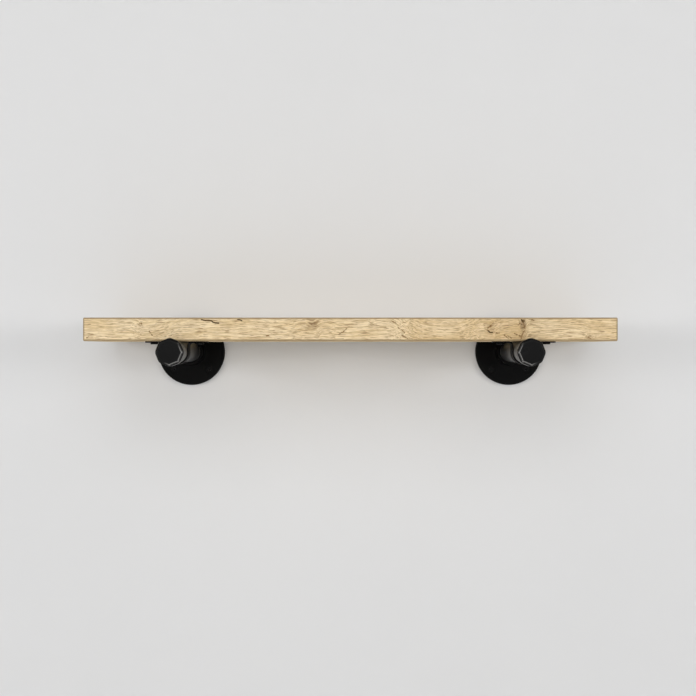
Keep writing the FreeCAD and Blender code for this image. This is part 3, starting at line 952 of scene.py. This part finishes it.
def screw_mesh(head, shank_end, length, crest, depth, pitch, recess):
    """One wood screw along the Y axis, with its head's outline given as (out, radius).

    recess is the width, span and depth of the driver cross.
    """
    face_out = head[0][0]
    tip = face_out - length
    outline = soften([(face_out, 0.001)] + head + [(shank_end, head[-1][1])], 0.25, 3)[1:]
    rings = [pole(face_out)] + [ring(out, radius, 48) for out, radius in outline]
    point = 3.0 * (crest - depth)
    rings += thread_rings(shank_end - 0.1, tip + point, crest, depth, pitch, head[-1][1], None,
                          0.2, 48)
    for i in range(1, 9):
        t = i / 9
        rings.append(ring(tip + point * (1 - t), (crest - depth) * (1 - t ** 1.5), 48))
    rings.append(pole(tip))
    points, faces = skin(rings)
    return carved(raw_mesh("screw", points, faces), cross_cutter(*recess, face_out))


def copies(mesh, matrices):
    """One mesh holding a copy of the given one at each matrix."""
    shape = bmesh.new()
    for matrix in matrices:
        copy = mesh.copy()
        copy.transform(matrix)
        shape.from_mesh(copy)
        bpy.data.meshes.remove(copy)
    made = bpy.data.meshes.new("copies")
    shape.to_mesh(made)
    shape.free()
    return made


def make_wall_screws(side, centre, screw, material):
    """Four countersunk screws in the flange."""
    matrices = []
    for i, degrees in enumerate(SCREW_ANGLES):
        x = SCREW_CIRCLE * math.cos(math.radians(degrees)) + centre
        z = SCREW_CIRCLE * math.sin(math.radians(degrees))
        spin = Matrix.Rotation(math.radians(20 + 35 * i + centre), 4, "Y")
        matrices.append(Matrix.Translation((x * MM, 0, z * MM)) @ spin)
    mesh = copies(screw, matrices)

    def rule(place):
        across, up = np.abs(place[:, 0] - centre), np.abs(place[:, 2])
        diagonal = SCREW_CIRCLE * math.sqrt(0.5)
        radius = np.hypot(across - diagonal, up - diagonal)
        face = smooth(-place[:, 1], WALL_SCREW_FACE - 0.5, WALL_SCREW_FACE - 0.1)
        # The centre of each head is drawn paler: partly driver scuffing, partly a painted highlight.
        return face * smooth(-radius, -3.2, -1.8) * 0.8

    add_wear_and_highlight(mesh, rule)
    return add_piece(side + "_wall_screw_set", mesh, material, side + "_wall_screws")


def make_strap_screws(side, centre, screw, material):
    """Two pan-head screws up through the strap's tabs."""
    seat = BOARD_BOTTOM - STRAP_THICKNESS
    matrices = []
    for i, hand in enumerate((-1, 1)):
        spin = Matrix.Rotation(math.radians(15 + 50 * i + centre / 5), 4, "Y")
        stand = Matrix.Rotation(math.radians(90), 4, "X")
        spot = Vector((centre + hand * STRAP_SCREW_OFFSET, -STRAP_MIDDLE, seat))
        matrices.append(Matrix.Translation(spot * MM) @ stand @ spin)
    mesh = copies(screw, matrices)

    def rule(place):
        # Painted highlight: the whole head below the tab is drawn paler.
        return smooth(seat - place[:, 2], 0.1, 0.5) * 0.9

    add_wear_and_highlight(mesh, rule)
    return add_piece(side + "_strap_screw_set", mesh, material, side + "_strap_screws")


# ---------------------------------------------------------------- stage, lights and camera


def plain_surface(name, level, roughness, one_sided):
    """A plain pale stage material; one-sided surfaces can't be seen from behind."""
    s = Shader(name)
    place = s.place()
    cloud = s.noise(place, 0.004, 3.0)
    s.set(Base_Color=s.mix(cloud, shade(level * 0.985), shade(level * 1.015)), Roughness=roughness)
    if one_sided:
        clear = s.node("ShaderNodeBsdfTransparent")
        sides = s.node("ShaderNodeNewGeometry")
        choice = s.node("ShaderNodeMixShader")
        s.feed(choice.inputs[0], sides.outputs["Backfacing"])
        s.feed(choice.inputs[1], s.surface.outputs[0])
        s.feed(choice.inputs[2], clear.outputs[0])
        output = next(n for n in s.tree.nodes if n.type == "OUTPUT_MATERIAL")
        s.feed(output.inputs["Surface"], choice.outputs[0])
    return s.material


def add_stage():
    """A plain pale wall behind the shelf and a plain pale floor well below it."""
    gap, low = WALL_GAP, FLOOR_HEIGHT
    sheets = {
        "stage_wall": [(-3, gap, low), (3, gap, low), (3, gap, 2.4), (-3, gap, 2.4)],
        "stage_floor": [(-4, -4, low), (4, -4, low), (4, 4, low), (-4, 4, low)],
    }
    for name, corners in sheets.items():
        level = 0.73 if name == "stage_wall" else 0.80
        mesh = bpy.data.meshes.new(name)
        mesh.from_pydata(corners, [], [(0, 1, 2, 3)])
        sheet = bpy.data.objects.new(name, mesh)
        mesh.materials.append(plain_surface(name, level, 0.8, name == "stage_wall"))
        bpy.context.scene.collection.objects.link(sheet)
        if name == "stage_wall":
            sheet.visible_shadow = False


def add_area(name, place, size, power):
    """A rectangular lamp that faces the shelf."""
    light = bpy.data.lights.new(name, "AREA")
    light.shape = "RECTANGLE"
    light.size, light.size_y = size
    light.energy = power
    lamp = bpy.data.objects.new(name, light)
    lamp.location = place
    lamp.rotation_euler = (-Vector(place)).to_track_quat("-Z", "Y").to_euler()
    bpy.context.scene.collection.objects.link(lamp)


def add_lights():
    """Soft studio light: boxes all round, one above, one behind the wall, and a pale room."""
    for name, across in (("box_left", -2.3), ("box_right", 2.3)):
        add_area(name, (across, -1.95, 0.25), (1.6, 0.7), 22.5)
    add_area("box_front", (0.0, -2.6, 0.20), (1.8, 0.4), 8.5)
    add_area("box_top", (0.0, -2.0, 1.50), (2.4, 1.2), 16)
    add_area("back", (0.0, 2.2, 1.6), (2.0, 1.2), 16)
    world = bpy.data.worlds.new("studio")
    world.use_nodes = True
    background = world.node_tree.nodes["Background"]
    background.inputs["Color"].default_value = (0.80, 0.80, 0.80, 1.0)
    background.inputs["Strength"].default_value = 0.28
    bpy.context.scene.world = world


def add_camera():
    """Straight on, 1.33 m from the wall and just below the board."""
    camera = bpy.data.cameras.new("camera")
    camera.lens = 54.35
    camera.sensor_width = 36.0
    camera.dof.use_dof = False
    holder = bpy.data.objects.new("camera", camera)
    holder.location = (-0.0027, -1.330, 0.0048)
    holder.rotation_euler = (math.radians(90), 0, 0)
    bpy.context.scene.collection.objects.link(holder)
    bpy.context.scene.camera = holder


# ---------------------------------------------------------------- the whole shelf

wood = timber("pale_timber")
casting = black_coat("black_casting", 0.0046, 0.38, 0.03, 0.8, 0.05)
# The caps' and the tube's last numbers are their paler colours, which paint highlights on the caps
# and a sheen on the tube.
fitting = black_coat("black_fitting", 0.0040, 0.30, 0.08, 0.8, 0.03, 0.45)
tube = black_coat("black_tube", 0.0050, 0.38, 0.80, 0.5, 0.004, 0.22)
# A black coat set darker than the others: painted shade, as the strap sits under the board.
strip = black_coat("black_strip_in_shade", 0.0022, 0.42, 0.03, 0.6, 0.02)
oxide = black_oxide("black_screw_steel")

countersunk_head = [
    (WALL_SCREW_FACE, WALL_SCREW_HEAD),
    (WALL_SCREW_FACE - WALL_SCREW_HEAD_DEPTH, WALL_SCREW_SHANK),
]
pan_head = [
    (STRAP_SCREW_HEIGHT, 3.3),
    (1.78, 4.0),
    (1.5, STRAP_SCREW_HEAD),
    (0.0, STRAP_SCREW_HEAD),
    (0.0, STRAP_SCREW_SHANK),
]
wall_screw = screw_mesh(countersunk_head, shank_end=0.6, length=WALL_SCREW_LENGTH, crest=2.5,
                        depth=0.7, pitch=2.2, recess=(1.1, 4.8, 2.3))
strap_screw = screw_mesh(pan_head, shank_end=-2.2, length=STRAP_SCREW_LENGTH, crest=1.95,
                         depth=0.55, pitch=1.6, recess=(0.9, 4.0, 1.3))

make_board(wood)
for side in SIDES:
    low, high = node_box(side + "_pipe")
    centre = (low[0] + high[0]) / 2
    make_flange(side, centre, casting)
    make_pipe(side, centre, tube)
    make_end_cap(side, centre, fitting)
    make_strap(side, centre, strip)
    make_wall_screws(side, centre, wall_screw, oxide)
    make_strap_screws(side, centre, strap_screw, oxide)

add_stage()
add_lights()
add_camera()
bpy.context.scene.view_settings.view_transform = "Standard"
